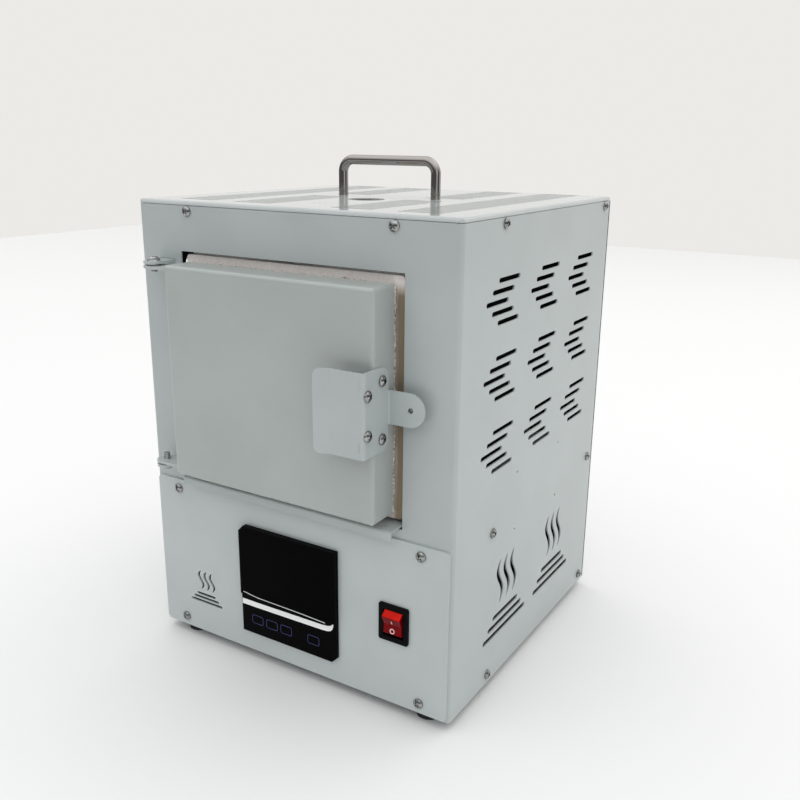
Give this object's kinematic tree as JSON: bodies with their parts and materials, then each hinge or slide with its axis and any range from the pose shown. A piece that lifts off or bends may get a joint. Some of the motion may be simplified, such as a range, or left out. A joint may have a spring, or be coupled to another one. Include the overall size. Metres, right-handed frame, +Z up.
{
  "type": "muffle furnace",
  "caption": "Bench muffle furnace: folded sheet casing, side-hinged insulated door with pull latch, fibre-lined chamber above a control bay with controller and rocker switch, carry handle, feet",
  "frame": {"origin": "on the floor, under the middle of the casing", "axes": "+X to the right seen from the front, -Y out of the front, +Z up"},
  "size_m": [0.2924, 0.3275, 0.4095],
  "materials": {
    "paint": "orange-peel powder coat, light grey, semi-gloss",
    "paint_gloss": "smooth powder coat, light grey, glossy",
    "galvanised": "galvanised sheet, matte",
    "zinc": "bright zinc plate",
    "stainless": "polished stainless rod",
    "element": "oxidised resistance wire",
    "brass": "plain brass",
    "die_cast": "bare aluminium",
    "fibre": "ceramic fibre board, matte, heat-stained at the mouth",
    "fireclay": "bare fireclay",
    "bush_ceramic": "bare alumina",
    "black_plastic": "moulded, fine grain",
    "white_plastic": "moulded, plain",
    "dark_window": "smoked window, glossy",
    "red_plastic": "translucent red, glossy",
    "rubber": "moulded rubber, matte"
  },
  "bodies": {
    "root": {"casing_wrap": "paint", "top_cover": "paint_gloss", "base_tray": "galvanised", "rear_panel": "paint", "muffle_shelf": "paint", "muffle_case": "galvanised", "muffle_lid": "galvanised", "front_collar": "fibre", "floor_board": "fibre", "roof_board": "fibre", "left_board": "fibre", "right_board": "fibre", "back_board": "fibre", "hearth_plate": "fireclay", "heating_elements": "element", "element_bushes": "bush_ceramic", "element_clamps": "brass", "thermocouple_sheath": "bush_ceramic", "thermocouple_head": "die_cast", "exhaust_tube": "fireclay", "control_panel": "paint", "controller_bezel": "black_plastic", "controller_window": "dark_window", "controller_body": "black_plastic", "controller_clamps": "black_plastic", "rocker_frame": "black_plastic", "rocker_tabs": "brass", "relay": "white_plastic", "heat_sink": "die_cast", "terminal_block": "white_plastic", "power_inlet": "black_plastic", "inlet_pins": "zinc", "casing_ears": "paint", "hinge_screws": "zinc", "hinge_washers": "zinc", "catch_stud": "zinc", "catch_nut": "zinc", "carry_handle": "stainless", "handle_screws": "zinc", "feet": "rubber", "foot_screws": "zinc", "foot_nuts": "zinc", "casing_screws": "zinc"},
    "door": {"door_shell": "paint", "door_ears": "paint", "door_board": "fibre", "door_plug": "fibre", "latch": "paint", "latch_stiffener": "paint", "latch_screws": "zinc"},
    "rocker": {"rocker_button": "red_plastic"}
  },
  "joints": [
    {"name": "door_hinge", "type": "hinge", "parent": "root", "child": "door", "pos_m": [-0.1162, -0.15275, 0.2475], "axis": [0, 0, -1], "range_deg": [0, 170]},
    {"name": "rocker_pivot", "type": "hinge", "parent": "root", "child": "rocker", "pos_m": [0.0963, -0.13925, 0.078], "axis": [-1, 0, 0], "range_deg": [0, 20]}
  ]
}
